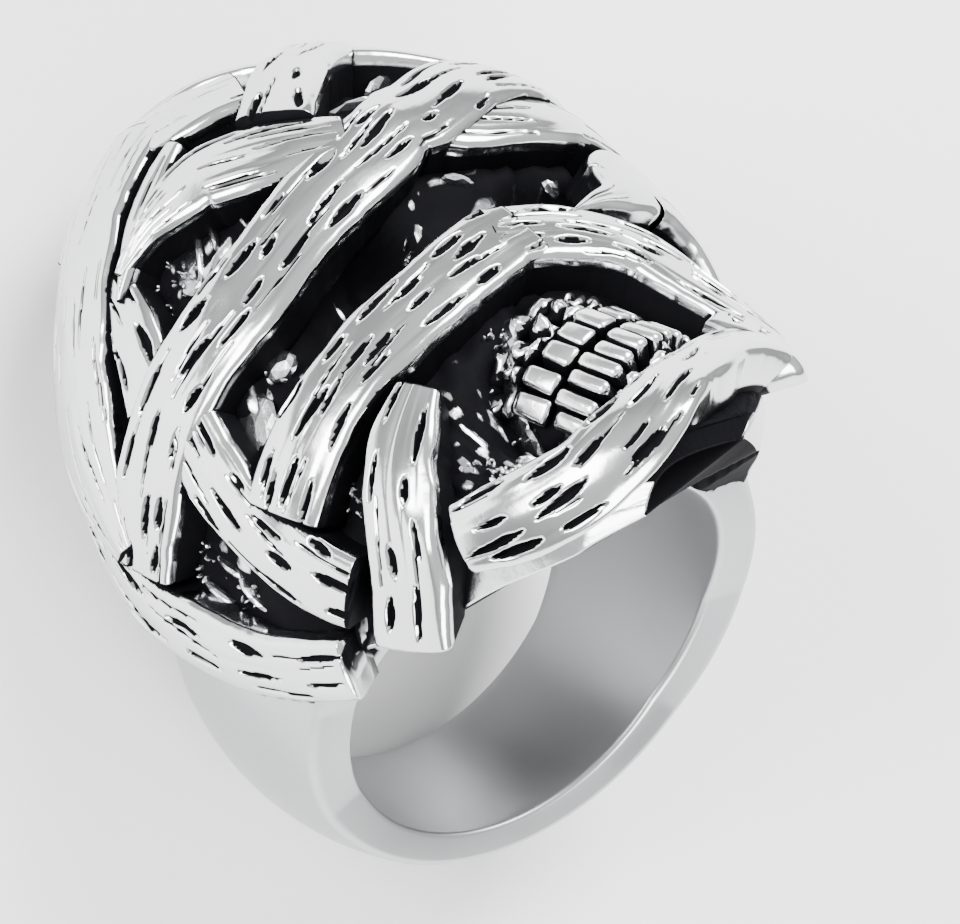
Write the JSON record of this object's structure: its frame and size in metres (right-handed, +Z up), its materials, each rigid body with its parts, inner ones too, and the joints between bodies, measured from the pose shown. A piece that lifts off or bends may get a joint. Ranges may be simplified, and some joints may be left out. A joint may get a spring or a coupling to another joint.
{
  "type": "skull ring",
  "caption": "Cast steel ring with a large skull wrapped in wide pitted strips, its teeth bared, on a plain band that is widest under the head and narrow at the palm.",
  "frame": {"origin": "on the surface the ring rests on, under the middle of the ring's box", "axes": "+Z up, +Y towards the back of the band, so the face looks to -Y and up and the chin is on top; +X is the skull's own right side"},
  "size_m": [0.032, 0.0391, 0.0354],
  "materials": {
    "polished_steel": "mirror-polished stainless steel",
    "blackened_steel": "blackened steel in the recesses, with worn bright edges",
    "antiqued_steel": "polished steel teeth with black between them",
    "pitted_steel": "polished steel strips with black elongated pits and grooves"
  },
  "bodies": {
    "root": {"shank": "polished_steel", "skull": "blackened_steel", "jaws": "antiqued_steel", "wraps": "pitted_steel"}
  },
  "joints": []
}
